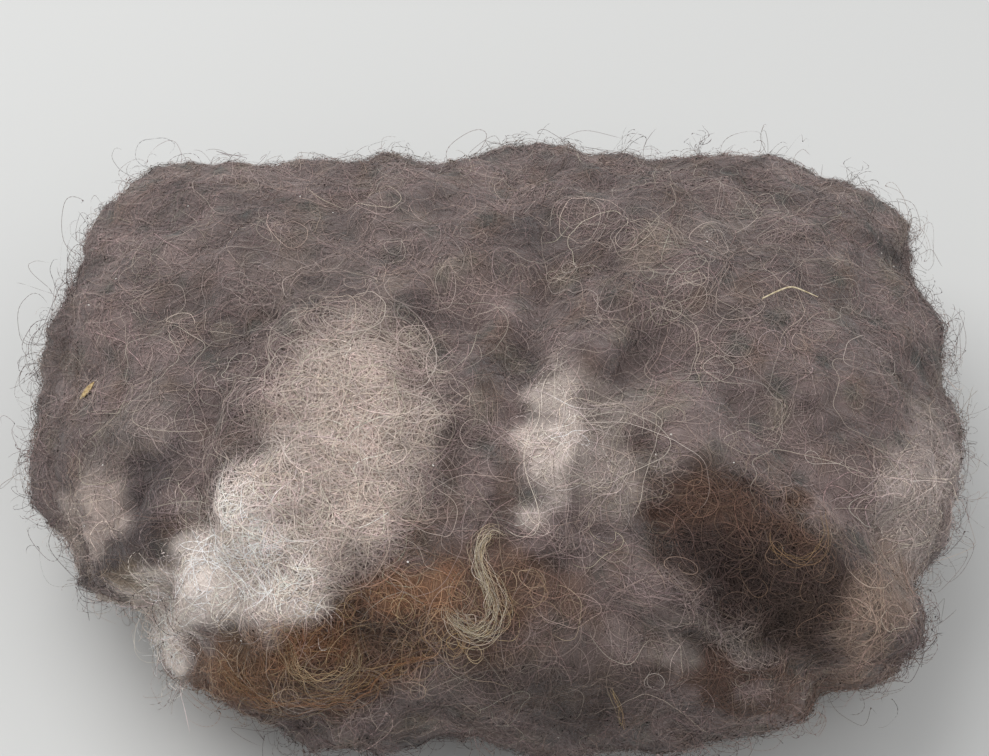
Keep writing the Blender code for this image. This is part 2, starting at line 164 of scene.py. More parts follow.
# Patches of colour: u, v, half length, half width, turn, softness, colour, share.
PATCHES = [
    (-87, -4, 14, 9, 70, 0.5, (0.27, 0.225, 0.203), 0.5),
    (-98, -21, 13, 7, 60, 0.5, (0.6, 0.485, 0.425), 0.8),
    (-60, 38, 26, 9, 12, 0.6, (0.15, 0.112, 0.102), 0.5),
    (-66, 14, 11, 8, 60, 0.6, (0.12, 0.09, 0.085), 0.45),
    (40, 49, 34, 11, 0, 0.6, (0.128, 0.094, 0.088), 0.6),
    (36, 45, 8, 5, 40, 0.6, (0.36, 0.29, 0.235), 0.4),
    (57, 54, 9, 3.5, 0, 0.6, (0.34, 0.28, 0.24), 0.4),
    (-42, 48, 30, 9, 8, 0.6, (0.155, 0.117, 0.108), 0.4),
    (-36, 28, 10, 6, 20, 0.6, (0.36, 0.29, 0.26), 0.35),
    (-46, 42, 9, 4, 10, 0.6, (0.32, 0.25, 0.215), 0.4),
    (14, 1, 16, 8.5, 80, 0.35, (0.8, 0.68, 0.61), 0.95),
    (28, -4, 16, 7, 85, 0.5, (0.42, 0.35, 0.31), 0.7),
    (48, -50, 15, 6, -8, 0.5, (0.33, 0.275, 0.245), 0.6),
    (101, -14, 18, 9, 80, 0.5, (0.58, 0.485, 0.44), 0.8),
    (10, -59, 30, 10, 2, 0.5, (0.105, 0.076, 0.066), 0.7),
    (-2, -35, 26, 9.5, -8, 0.4, (0.145, 0.082, 0.056), 0.88),
    (-30, -49, 44, 11, 17, 0.35, (0.14, 0.08, 0.054), 0.92),
    (-22, -36, 10, 7, 20, 0.5, (0.37, 0.185, 0.1), 0.72),
    (-61, -56, 17, 7, 15, 0.5, (0.31, 0.165, 0.09), 0.7),
    (-46, -49, 11, 5, 10, 0.5, RUST, 0.65),
    (-87, -17, 23, 6.5, 63, 0.4, (0.085, 0.064, 0.063), 0.8),
    # The next three rows are the wool's pale colour, raised well above PALE: partly painted light,
    # where the lower-left corner faces down and away from the lamps.
    (-80, -41, 27, 11, 42, 0.25, (0.9, 0.79, 0.72), 0.98),
    (-88, -45, 11, 5.5, 35, 0.4, (0.85, 0.72, 0.65), 0.95),
    (-54, -24, 24, 16.5, 50, 0.3, (0.9, 0.78, 0.71), 0.97),
    (-36, 0, 28, 18, 82, 0.3, PALE, 0.95),
    (57, -58.5, 18, 4, -14, 0.4, (0.09, 0.048, 0.032), 0.9),
    (41, -54, 8, 4.5, 20, 0.4, (0.06, 0.04, 0.032), 0.85),
    (63, -28.5, 33, 16, -38, 0.22, DARK, 0.97),
    (48, -14, 14, 7.5, -15, 0.4, (0.11, 0.06, 0.042), 0.88),
    (73, -20, 9, 5, -40, 0.5, (0.11, 0.058, 0.036), 0.7),
    (57, -31, 12, 8, -30, 0.5, (0.036, 0.021, 0.018), 0.8),
    (89, -42, 18, 7.5, 72, 0.35, (0.355, 0.255, 0.2), 0.88),
    (80, -60, 12, 5, 20, 0.5, (0.18, 0.11, 0.08), 0.7),
    (-89.5, -35, 5, 3, 60, 0.6, (0.3, 0.2, 0.09), 0.6),
]

# Small blotches all over, darker and lighter: the wool's own uneven colour, with painted shade of
# small hollows in the darker ones: seed, shortest and longest wave, threshold, colour, share.
BLOTCHES_AND_SHADE = [
    (14, 6, 16, 0.7, (0.19, 0.128, 0.098), 0.6),
    (15, 6, 14, 1.1, (0.085, 0.09, 0.078), 0.7),
    (16, 8, 20, 1.2, (0.3, 0.25, 0.2), 0.5),
]

# Hairs. Down is made of thin strips, and longer hairs are ribbons. A step is the way
# from point to point. A curl is a bend, then waves: strength, shortest, longest.
# A lift is the least and the most that a hair stands clear of the wool.
STEP = 0.7
OWN_SHARE = 0.3
DOWN_CURL = (0.10, ((0.12, 8.0, 18.0), (0.13, 5.0, 8.0)))
DOWN_PIECES = 4
DOWN_HAIRS = 5250
DOWN_POINTS = 27
DOWN_WIDTH = 0.095
TUFT_HAIRS = {"pale_tuft": 2300, "rust_tuft": 600, "dark_tuft": 750}
TUFT_LIFT = (0.1, 1.7)
GUARD_HAIRS = 840
GUARD_POINTS = 52
GUARD_STEP = 0.85
GUARD_WIDTH = 0.085
GUARD_CURL = (0.11, ((0.13, 22.0, 50.0), (0.10, 8.0, 16.0)))
GUARD_LIFT = (0.4, 2.2)
LOOP_HAIRS = 740
LOOP_POINTS = 42
LOOP_STEP = 0.5
LOOP_WIDTH = 0.078
LOOP_CURL = (0.34, ((0.2, 10.0, 20.0),))
LOOP_LIFT = (0.5, 2.2)

# Where long hairs and loops are rooted: a base amount everywhere, and more in ovals
# of the picture plane: amount, u, v, half length, half width, turn.
GUARD_BASE = 0.16
GUARD_PLACES = [
    (1.7, -42, -6, 36, 27, 72),
    (2.2, -36, 20, 20, 12, 10),
    (0.5, 46, 42, 26, 18, 0),
    (0.25, 60, 32, 44, 30, 0),
    (0.9, -30, -52, 46, 12, 15),
]
LOOP_BASE = 0.10
LOOP_PLACES = [
    (2.6, -34, -49, 44, 13, 14),
    (1.2, 0, -36, 22, 9, -8),
    (1.5, 61, -26, 32, 17, -38),
    (0.45, -36, 4, 26, 18, 80),
    (0.35, 50, 36, 40, 24, 0),
]
# Ovals where long hairs are few, and where loops are straw-coloured or brown.
FEW_GUARDS = (62, -31, 32, 19, -38)
STRAW_LOOPS = (-24, -46, 56, 16, 12)
BROWN_LOOPS = (61, -26, 36, 21, -38)

# Loose hairs round the rim: name, hairs, points, step, width, bend, outward pull.
FRIZZ = [
    ("rim_frizz", 2500, 22, 0.6, 0.075, 0.30, 0.5),
    ("rim_curls", 520, 44, 0.7, 0.085, 0.17, 0.35),
]
FRIZZ_REACH = 7.0
FRIZZ_REACH_FAR = 3.5
FRIZZ_FACING = np.array([0.0, -0.65, 0.80])
WISP_HAIRS = 16
WISP_POINTS = 20
WISP_WIDTH = 0.085
WISP_FAR_SHARE = 0.7
# Rim hairs above this height are flattened into the room over it.
PRESSED_FROM = 78.0
PRESSED_ROOM = 7.5
# Where pressed troughs meet, the down bridges what is deeper than this, all but a little.
PIT_DEPTH = 4.5
PIT_ROOM = 1.5

STRAND_SIDES = 3
# Bundles of coarse hair: name, strands, strand radius, colours, then u, v, half thickness.
BUNDLES = {
    "golden_swirl": (17, 0.048, (GOLD, STRAW), [
        (-52, -45.5, 0.6), (-49, -52, 1.3), (-43.5, -57, 1.7), (-36.5, -55.5, 1.6),
        (-32.6, -49.5, 1.3), (-32, -43.5, 0.7)]),
    "rust_sweep": (24, 0.048, (GOLD, RUST), [
        (-68, -52, 0.6), (-60, -57.5, 1.6), (-48, -60, 2.2), (-34, -59, 1.9),
        (-22, -54, 1.4), (-12, -50, 0.6)]),
    "dark_loop": (8, 0.042, (BROWN, GOLD), [
        (63, -23, 0.5), (65.5, -27.5, 0.8), (70.5, -30, 0.9), (76, -28.5, 0.9),
        (78.5, -24, 0.7), (77.5, -18, 0.4)]),
    "low_strand": (6, 0.055, (GOLD, STRAW), [
        (26.5, -58.5, 0.2), (28.7, -62.5, 0.4), (29.4, -66.5, 0.3), (30, -69.5, 0.2)]),
}

# Straw bit: u, v, radius.
STRAW_BIT = [(62.8, 32.6, 0.16), (66.5, 34.4, 0.2), (69.8, 35.4, 0.2), (73, 34.4, 0.18),
             (76.2, 33.0, 0.1)]
SPECKS = 34
SPECK_RADIUS = 0.32

# Camera: width of the picture at the target's distance, and the middle of the picture.
SENSOR = 36.0
PICTURE_WIDTH = 239.2
MIDDLE_U = -1.07
MIDDLE_V = 14.7

# Stage. Lamps: name, place, size, power, in metres and watts.
FLOOR_COLOUR = (0.575, 0.575, 0.562, 1.0)
SKY_COLOUR = (0.96, 0.975, 1.0, 1.0)
SKY_STRENGTH = 0.62
LAMPS = [
    ("key", (-0.45, 0.30, 0.95), 1.0, 9.0),
    ("fill", (0.7, -0.6, 0.8), 1.2, 4.0),
]
LAMP_AIM = Vector((0.0, 0.0, 0.04))

VIEW_SIDE = np.array([1.0, 0.0, 0.0])
VIEW_UP = np.array([0.0, math.sin(VIEW_ANGLE), math.cos(VIEW_ANGLE)])
VIEW_BACK = np.array([0.0, -math.cos(VIEW_ANGLE), math.sin(VIEW_ANGLE)])
TARGET = np.array([0.0, 0.0, TARGET_Z])
CENTRE = np.array([0.0, 0.0, CENTRE_HEIGHT])
UPWARD = np.array([0.0, 0.0, 1.0])
# The eye's rays are followed to the wool by steps from here, then by halving.
RAY_START = VIEW_DISTANCE - 150.0
RAY_STEP = 2.5
RAY_STEPS = 110
RAY_HALVINGS = 20
FULL_TURN = 2.0 * math.pi


def unit(values):
    length = np.linalg.norm(values, axis=-1, keepdims=True)
    return values / np.maximum(length, 1e-9)


def smooth_step(low, high, value):
    share = np.clip((value - low) / (high - low), 0.0, 1.0)
    return share * share * (3.0 - 2.0 * share)


def seen_place(points):
    """Place of each point in the picture plane, and its nearness to the eye."""
    rel = points - TARGET
    near = rel @ VIEW_BACK
    scale = VIEW_DISTANCE / (VIEW_DISTANCE - near)
    return (rel @ VIEW_SIDE) * scale, (rel @ VIEW_UP) * scale, near


def turned(degrees):
    return math.cos(math.radians(degrees)), math.sin(math.radians(degrees))


def oval(u, v, centre_u, centre_v, half_length, half_width, turn):
    """Distance from an oval's centre, 1 at its edge."""
    cos_t, sin_t = turned(turn)
    along = (u - centre_u) * cos_t + (v - centre_v) * sin_t
    across = (v - centre_v) * cos_t - (u - centre_u) * sin_t
    return np.hypot(along / half_length, across / half_width)


def within(u, v, place):
    """1 inside an oval, falling to 0 past its edge."""
    return np.exp(-oval(u, v, *place) ** 4)


def distance_to_line(u, v, line):
    best = np.full(u.shape, 1e9)
    for (au, av), (bu, bv) in zip(line[:-1], line[1:]):
        du = bu - au
        dv = bv - av
        share = ((u - au) * du + (v - av) * dv) / (du * du + dv * dv)
        share = np.clip(share, 0.0, 1.0)
        best = np.minimum(best, np.hypot(u - au - share * du, v - av - share * dv))
    return best


def plain_radius(ways):
    power = np.where(ways[:, 1] < 0.0, PLAN_POWER_NEAR, PLAN_POWER_FAR)
    flat = (np.abs(ways[:, 0]) / HALF_WIDTH) ** power
    flat = flat + (np.abs(ways[:, 1]) / HALF_DEPTH) ** power
    whole = flat ** (SIDE_POWER / power)
    whole = whole + (np.abs(ways[:, 2]) / HALF_HEIGHT) ** SIDE_POWER
    return whole ** (-1.0 / SIDE_POWER)


def clump_rise(u, v, facing):
    """How far the clumps stand above the mass."""
    rise = np.zeros(u.shape)
    for *place, lift, _, _ in CLUMPS.values():
        share = np.clip(oval(u, v, *place), 0.0, 1.4)
        bump = RIM_ABOVE + (lift - RIM_ABOVE) * (1.0 - np.minimum(share, 1.0) ** 2.2)
        rise += facing * (1.5 * bump + 0.7) * smooth_step(1.4, 0.9, share)
    return rise


def surface(ways, over_clumps=False, bridged=False):
    """Points of the lumpy wool along directions from its centre."""
    ways = unit(ways)
    plain = plain_radius(ways)
    spots = CENTRE + ways * plain[:, None]
    u, v, near = seen_place(spots)
    facing = smooth_step(-18.0, 8.0, near)
    rise = np.zeros(len(ways))
    for lump_u, lump_v, radius, height in SWELLINGS:
        far = (u - lump_u) ** 2 + (v - lump_v) ** 2
        rise += facing * height * np.exp(-far / (2.0 * radius * radius))
    for x, y, z, radius, height in FAR_SWELLINGS:
        far = np.sum((spots - np.array([x, y, z])) ** 2, axis=1)
        rise += height * np.exp(-far / (2.0 * radius * radius))
    sunk = np.zeros(len(ways))
    for depth, width, line in TROUGHS:
        gap = distance_to_line(u, v, line)
        sunk += facing * depth * np.exp(-(gap / width) ** 2)
    if bridged:
        over = np.maximum(sunk - PIT_DEPTH, 0.0)
        sunk += PIT_ROOM * np.tanh(over / PIT_ROOM) - over
    rise -= sunk
    for wave_x, wave_y, wave_z, phase, height in RIPPLES:
        turn = spots @ np.array([wave_x, wave_y, wave_z])
        rise += height * np.sin(FULL_TURN * turn + phase)
    if over_clumps:
        rise += clump_rise(u, v, facing)
    return CENTRE + ways * (plain + rise)[:, None]


def seen_points(u, v):
    """Where the eye's ray through each place of the picture plane meets the wool."""
    u = np.asarray(u, dtype=float)
    v = np.asarray(v, dtype=float)
    eye = TARGET + VIEW_BACK * VIEW_DISTANCE
    aim = unit(TARGET + u[:, None] * VIEW_SIDE + v[:, None] * VIEW_UP - eye)

    def inside(reach):
        rel = eye + aim * reach[:, None] - CENTRE
        return np.linalg.norm(surface(rel) - CENTRE, axis=1) > np.linalg.norm(rel, axis=1)

    low = np.full(u.shape, RAY_START)
    high = low.copy()
    found = np.zeros(u.shape, dtype=bool)
    for step in range(RAY_STEPS):
        trial = RAY_START + step * RAY_STEP
        hit = inside(np.full(u.shape, trial)) & ~found
        high[hit] = trial
        low[hit] = trial - RAY_STEP
        found |= hit
    for _ in range(RAY_HALVINGS):
        middle = (low + high) / 2.0
        hit = inside(middle)
        high = np.where(hit, middle, high)
        low = np.where(hit, low, middle)
    return eye + aim * high[:, None]


def roughness_at(points):
    return 0.4 * wobble(points, 21, 24, 4.0, 10.0)


def side_ways(outs):
    """Two directions along the surface, square to each other."""
    helper = np.tile(UPWARD, (len(outs), 1))
    helper[np.abs(outs[:, 2]) > 0.8] = np.array([0.0, 1.0, 0.0])
    side = unit(np.cross(helper, outs))
    return side, np.cross(outs, side)


def normals_at(points, reach=2.5):
    rel = points - CENTRE
    length = np.linalg.norm(rel, axis=1, keepdims=True)
    way = rel / length
    side, over = side_ways(way)
    small = reach / length
    across = surface(way + side * small) - surface(way - side * small)
    along = surface(way + over * small) - surface(way - over * small)
    return unit(np.cross(across, along))


def wobble(points, seed, count, low, high):
    """Smooth unevenness, mostly between -2 and 2, of wavelengths low to high."""
    picks = np.random.default_rng(seed)
    total = np.zeros(len(points))
    for _ in range(count):
        way = unit(picks.normal(size=3))
        wave = FULL_TURN / picks.uniform(low, high)
        total += np.sin(points @ way * wave + picks.uniform(0.0, FULL_TURN))
    return total / math.sqrt(count / 2.0)


def colour_at(points):
    """The wool's own colour at points on or near it."""
    u, v, near = seen_place(points)
    facing = smooth_step(-22.0, 2.0, near)
    u = u + 2.6 * wobble(points, 11, 8, 8.0, 22.0)
    v = v + 2.6 * wobble(points, 12, 8, 8.0, 22.0)
    tone = 1.0 + 0.17 * wobble(points, 13, 14, 9.0, 40.0) + 0.12 * wobble(points, 17, 14, 3.5, 8.0)
    colour = np.array(TAUPE) * np.clip(tone, 0.5, 1.7)[:, None]
    # Blotches of the wool's own colour; the darker ones are partly painted shade of small hollows.
    for seed, low, high, edge, blotch_colour, share in BLOTCHES_AND_SHADE:
        amount = np.clip(wobble(points, seed, 10, low, high) - edge, 0.0, 1.0)[:, None]
        colour = colour + amount * share * (np.array(blotch_colour) - colour)
    for *place, soft, patch, share in PATCHES:
        amount = facing * share * smooth_step(1.0 + soft, 1.0 - soft, oval(u, v, *place))
        shade = np.array(patch) * np.clip(0.5 + 0.5 * tone, 0.6, 1.4)[:, None]
        colour = colour + amount[:, None] * (shade - colour)
    return colour


def colours_along(paths, marks):
    """The wool's colour under hairs, worked out at a few marks along each."""
    count, steps = paths.shape[:2]
    chosen = np.linspace(0.0, steps - 1.0, marks).round().astype(int)
    known = colour_at(paths[:, chosen].reshape(-1, 3)).reshape(count, marks, 3)
    place = np.interp(np.arange(steps), chosen, np.arange(marks))
    before = np.minimum(place.astype(int), marks - 2)
    share = (place - before)[None, :, None]
    return known[:, before] * (1.0 - share) + known[:, before + 1] * share


def lattice(counts):
    """The corners and squares of the outside of a box of cells."""
    corners = []
    squares = []
    start = 0
    for axis in range(3):
        first, second = [number for number in range(3) if number != axis]
        a, b = np.meshgrid(np.arange(counts[first] + 1), np.arange(counts[second] + 1),
                           indexing="ij")
        for side in (0, counts[axis]):
            spots = np.zeros((a.size, 3), dtype=int)
            spots[:, first] = a.ravel()
            spots[:, second] = b.ravel()
            spots[:, axis] = side
            rows = start + np.arange(a.size).reshape(a.shape)
            loop = np.stack([rows[:-1, :-1], rows[1:, :-1], rows[1:, 1:], rows[:-1, 1:]], -1)
            loop = loop.reshape(-1, 4)
            if (side == 0) != (axis == 1):
                loop = loop[:, ::-1]
            corners.append(spots)
            squares.append(loop)
            start += a.size
    spots, place = np.unique(np.vstack(corners), axis=0, return_inverse=True)
    return spots, place.ravel()[np.vstack(squares)]


class Skin:
    """The mass on a fine grid, and where its faces are."""

    def __init__(self):
        spots, self.faces = lattice(CELLS)
        cube = np.sin((2.0 * spots / np.array(CELLS) - 1.0) * CELL_BEND) / math.sin(CELL_BEND)
        points = surface(cube * np.array([HALF_WIDTH, HALF_DEPTH, HALF_HEIGHT]), bridged=True)
        self.points = points + unit(points - CENTRE) * roughness_at(points)[:, None]
        corner = self.points[self.faces]
        cross = np.cross(corner[:, 2] - corner[:, 0], corner[:, 3] - corner[:, 1])
        self.area = np.linalg.norm(cross, axis=1) / 2.0
        self.out = unit(cross)
        self.at = corner.mean(axis=1)

    def roots(self, picks, count, weights):
        """Random places on the mass: points and outward directions."""
        chosen = picks.choice(len(weights), size=count, p=weights / weights.sum())
        mix = picks.dirichlet((1.0, 1.0, 1.0, 1.0), size=count)
        spots = np.einsum("nk,nkx->nx", mix, self.points[self.faces[chosen]])
        return spots, self.out[chosen]


def new_object(name, data):
    item = bpy.data.objects.new(name, data)
    bpy.context.scene.collection.objects.link(item)
    return item


def add_piece(name, points, faces, material, colours=None, facing=None):
    """A mesh in the part's frame that rides on the part."""
    points = points + PLACE
    points[:, 2] = np.maximum(points[:, 2], FLOOR_GAP)
    mesh = bpy.data.meshes.new(name)
    mesh.from_pydata((points * MM).tolist(), [], faces)
    mesh.materials.append(material)
    mesh.polygons.foreach_set("use_smooth", np.ones(len(mesh.polygons), dtype=bool))
    if colours is not None:
        layer = mesh.color_attributes.new("tint", "FLOAT_COLOR", "POINT")
        full = np.ones((len(points), 4), dtype=np.float32)
        full[:, :3] = colours
        layer.data.foreach_set("color", full.ravel())
    if facing is not None:
        mesh.normals_split_custom_set_from_vertices(facing.tolist())
    mesh.update()
    item = new_object(name, mesh)
    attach(item, "root")
    return item


def hair_strips(paths, widths, outward):
    """Strips of triangles along paths of shape (hairs, points, 3)."""
    count, steps = paths.shape[:2]
    side = unit(np.cross(np.gradient(paths, axis=1), outward))
    sign = np.where(np.arange(steps) % 2 == 0, 0.5, -0.5)
    points = paths + side * (widths * sign)[..., None]
    first = np.arange(steps - 2)
    even = first % 2 == 0
    strip = np.stack([np.where(even, first + 1, first), np.where(even, first, first + 1),
                      first + 2], -1)
    faces = (strip[None] + (np.arange(count) * steps)[:, None, None]).reshape(-1, 3)
    return points.reshape(-1, 3), faces.tolist()


def hair_ribbons(paths, widths, outward):
    """Flat hairs two points wide along paths of shape (hairs, points, 3)."""
    count, steps = paths.shape[:2]
    side = unit(np.cross(np.gradient(paths, axis=1), outward)) * widths[..., None] / 2.0
    points = np.stack([paths + side, paths - side], axis=2)
    row = 2 * np.arange(steps - 1)
    quad = np.stack([row + 1, row, row + 2, row + 3], -1)
    faces = (quad[None] + (2 * steps * np.arange(count))[:, None, None]).reshape(-1, 4)
    return points.reshape(-1, 3), faces.tolist()


def tube_walls(steps, sides):
    """The squares between a tube's rings."""
    row, corner = np.meshgrid(np.arange(steps - 1), np.arange(sides), indexing="ij")
    after = (corner + 1) % sides
    quad = np.stack([row * sides + corner, row * sides + after, (row + 1) * sides + after,
                     (row + 1) * sides + corner], -1)
    return quad.reshape(-1, 4)


def hair_tubes(paths, radii, sides, outward):
    """Closed round strands along paths of shape (strands, points, 3)."""
    count, steps = paths.shape[:2]
    ahead = unit(np.gradient(paths, axis=1))
    side = unit(np.cross(ahead, outward))
    over = np.cross(ahead, side)
    angle = FULL_TURN * np.arange(sides) / sides
    ring = side[:, :, None] * np.cos(angle)[:, None] + over[:, :, None] * np.sin(angle)[:, None]
    points = paths[:, :, None] + ring * radii[:, :, None, None]
    starts = (np.arange(count) * steps * sides)[:, None]
    walls = (tube_walls(steps, sides)[None] + starts[:, None]).reshape(-1, 4)
    roots = starts + np.arange(sides)[::-1]
    tips = starts + (steps - 1) * sides + np.arange(sides)
    return points.reshape(-1, 3), walls.tolist() + roots.tolist() + tips.tolist()


def laid_paths(picks, roots, outs, steps, step, bend, waves, heights):
    """Curly hairs on the wool, each bent at random and laid on its surface."""
    count = len(roots)
    side, over = side_ways(outs)
    along = np.arange(steps) * step
    flow = 1.6 * wobble(roots, 51, 8, 22.0, 60.0)[:, None]
    turning = picks.choice([-1.0, 1.0], (count, 1)) * picks.uniform(0.4, 1.7, (count, 1)) * bend
    angle = flow + picks.normal(0.0, 1.0, (count, 1)) + turning * along
    angle = angle + math.pi * picks.integers(0, 2, (count, 1))
    for strength, low, high in waves:
        length = picks.uniform(low, high, (count, 1))
        phase = picks.uniform(0.0, FULL_TURN, (count, 1))
        power = picks.normal(0.0, strength, (count, 1)) * length / FULL_TURN
        angle = angle + power * np.sin(FULL_TURN * along / length + phase)
    a = np.cumsum(np.cos(angle), axis=1) * step
    b = np.cumsum(np.sin(angle), axis=1) * step
    a -= a.mean(axis=1, keepdims=True)
    b -= b.mean(axis=1, keepdims=True)
    flat = roots[:, None] + a[..., None] * side[:, None] + b[..., None] * over[:, None]
    laid = surface(flat.reshape(-1, 3) - CENTRE, over_clumps=True, bridged=True)
    rough = roughness_at(laid)
    arch = np.sin(math.pi * np.linspace(0.0, 1.0, steps)) ** 0.6
    top = picks.uniform(heights[0], heights[1], (count, 1))
    lift = -0.25 + (top + 0.25) * arch
    lift = lift + 0.15 * np.sin(picks.uniform(0.5, 1.1, (count, 1)) * along
                                + picks.uniform(0.0, FULL_TURN, (count, 1)))
    lift = lift.reshape(-1) + rough
    return (laid + unit(laid - CENTRE) * lift[:, None]).reshape(count, steps, 3)


def standing_paths(picks, roots, ways, outs, steps, step, bend):
    """Hairs that stand out of the wool and curl freely."""
    count = len(roots)
    heading = unit(ways)
    axis = unit(np.cross(heading, picks.normal(size=(count, 3)))) + 0.25 * heading
    spot = roots - outs * 0.8
    turn = picks.uniform(0.6 * bend, 1.6 * bend, (count, 1))
    wave = picks.uniform(0.4, 1.1, (count, 1))
    phase = picks.uniform(0.0, FULL_TURN, (count, 1))
    path = []
    for number in range(steps):
        path.append(spot)
        angle = (turn + 0.7 * bend * np.sin(wave * number * step + phase)) * step
        heading = unit(heading + np.cross(axis, heading) * angle)
        spot = spot + heading * step
    return np.stack(path, axis=1)


def pressed_flat(points):
    """Points near the top, flattened as where the wool was pressed."""
    over = np.maximum(points[..., 2] - PRESSED_FROM, 0.0)
    points[..., 2] += PRESSED_ROOM * np.tanh(over / PRESSED_ROOM) - over
    return points


def tapered(picks, count, steps, width):
    share = np.linspace(0.0, 1.0, steps)
    taper = np.clip(np.minimum(share, 1.0 - share) * 8.0, 0.25, 1.0)
    return width * picks.uniform(0.65, 1.35, (count, 1)) * taper


def hair_colours(picks, colours, steps, spread):
    """One tone for each hair, a little lighter or darker along it."""
    count = len(colours)
    if colours.ndim == 2:
        colours = colours[:, None]
    tone = np.exp(picks.normal(0.0, spread, (count, 1)))
    along = 1.0 + 0.12 * np.sin(np.linspace(0.0, 5.0, steps)
                                + picks.uniform(0.0, FULL_TURN, (count, 1)))
    tint = colours * (1.0 + picks.normal(0.0, 0.03, (count, 1, 3)))
    full = tint * (tone * along)[..., None]
    return np.clip(full, 0.004, 0.9).reshape(-1, 3)


def add_hairs(name, picks, paths, outs, width, colours, spread, tilt, look):
    """A piece of fine hairs that face outward, each turned a little at random."""
    count, steps = paths.shape[:2]
    outward = unit(outs + picks.normal(0.0, tilt, outs.shape))
    points, faces = hair_strips(paths, tapered(picks, count, steps, width), outward[:, None])
    shades = hair_colours(picks, colours, steps, spread)
    facing = unit(outs + picks.normal(0.0, 0.1, outs.shape))
    facing = np.repeat(facing, steps, axis=0)
    return add_piece(name, points, faces, look, shades, facing)


def add_long_hairs(name, picks, paths, width, colours, spread, look):
    """A piece of long smooth hairs that lie on the wool and turn with it."""
    count, steps = paths.shape[:2]
    outward = normals_at(paths.reshape(-1, 3), 4.0).reshape(count, steps, 3)
    points, faces = hair_ribbons(paths, tapered(picks, count, steps, width), outward)
    shades = np.repeat(hair_colours(picks, colours, steps, spread), 2, axis=0)
    facing = np.repeat(outward.reshape(-1, 3), 2, axis=0)
    return add_piece(name, points, faces, look, shades, facing)


def add_node(tree, kind, links=(), **values):
    """A shader node with its values, fed by (socket, source) pairs."""
    node = tree.nodes.new(kind)
    for name, value in values.items():
        if name.startswith("set_"):
            setattr(node, name[4:], value)
        else:
            node.inputs[name.replace("_", " ")].default_value = value
    for socket, source in links:
        tree.links.new(source, node.inputs[socket])
    return node


def remapped(tree, source, low, high, first, last):
    """A shader number brought from one range to another."""
    node = add_node(tree, "ShaderNodeMapRange", From_Min=low, From_Max=high, To_Min=first,
                    To_Max=last, links=[("Value", source)])
    return node.outputs["Result"]


def new_material(name, roughness, specular, sheen):
    material = bpy.data.materials.new(name)
    material.use_nodes = True
    tree = material.node_tree
    shader = tree.nodes["Principled BSDF"]
    shader.inputs["Roughness"].default_value = roughness
    shader.inputs["Specular IOR Level"].default_value = specular
    shader.inputs["Sheen Weight"].default_value = sheen
    shader.inputs["Sheen Roughness"].default_value = 0.5
    place = tree.nodes.new("ShaderNodeTexCoord").outputs["Object"]
    return material, tree, shader, place


def tint_colour(tree, shader, tone):
    """Base colour from the points' own colour, scaled by a tone."""
    tint = add_node(tree, "ShaderNodeVertexColor", set_layer_name="tint")
    mix = add_node(tree, "ShaderNodeVectorMath", set_operation="SCALE",
                   links=[(0, tint.outputs["Color"]), ("Scale", tone)])
    tree.links.new(mix.outputs["Vector"], shader.inputs["Base Color"])


def fibre_material(name, roughness, sheen, grain, mottle):
    """Hair: its points' colour with a fine mottle along it."""
    material, tree, shader, place = new_material(name, roughness, 0.22, sheen)
    noise = add_node(tree, "ShaderNodeTexNoise", Scale=grain, Detail=3.0,
                     links=[("Vector", place)])
    tone = remapped(tree, noise.outputs["Fac"], 0.3, 0.7, 1.0 - mottle, 1.0 + mottle)
    tint_colour(tree, shader, tone)
    return material


def tangle_material(name, roughness, dark, light):
    """Matted down under the loose hairs: curly lines of hair over hollows darkened as painted shade.
    """
    material, tree, shader, place = new_material(name, roughness, 0.2, 0.25)
    lines = None
    for scale, width, shift in TANGLE_LINES:
        # The second input keeps its own value, 0.5, which is the middle of the noise.
        noise = add_node(tree, "ShaderNodeTexNoise", set_noise_dimensions="4D", W=shift,
                         Scale=scale, Detail=0.0, Distortion=1.2, links=[("Vector", place)])
        away = add_node(tree, "ShaderNodeMath", set_operation="SUBTRACT",
                        links=[(0, noise.outputs["Fac"])])
        gap = add_node(tree, "ShaderNodeMath", set_operation="ABSOLUTE",
                       links=[(0, away.outputs[0])])
        thin = remapped(tree, gap.outputs[0], 0.0, width, 1.0, 0.0)
        if lines is None:
            lines = thin
        else:
            most = add_node(tree, "ShaderNodeMath", set_operation="MAXIMUM",
                            links=[(0, lines), (1, thin)])
            lines = most.outputs[0]
    # Away from the lines the colour falls to the dark factor: painted shade in the hollows between
    # hairs.
    tint_colour(tree, shader, remapped(tree, lines, 0.0, 1.0, dark, light))
    bump = add_node(tree, "ShaderNodeBump", Strength=0.6, Distance=0.0004,
                    links=[("Height", lines)])
    tree.links.new(bump.outputs["Normal"], shader.inputs["Normal"])
    return material


def streaked_material(name, roughness, scale, dark, light):
    """Dry plant bits: streaks between two colours."""
    material, tree, shader, place = new_material(name, roughness, 0.4, 0.0)
    noise = add_node(tree, "ShaderNodeTexNoise", Scale=scale, Detail=4.0,
                     links=[("Vector", place)])
    ramp = add_node(tree, "ShaderNodeValToRGB", links=[("Fac", noise.outputs["Fac"])])
    for number, position, colour in ((0, 0.32, dark), (1, 0.68, light)):
        ramp.color_ramp.elements[number].position = position
        ramp.color_ramp.elements[number].color = (*colour, 1.0)
    tree.links.new(ramp.outputs["Color"], shader.inputs["Base Color"])
    bump = add_node(tree, "ShaderNodeBump", Strength=0.5, Distance=0.0002,
                    links=[("Height", noise.outputs["Fac"])])
    tree.links.new(bump.outputs["Normal"], shader.inputs["Normal"])
    return material


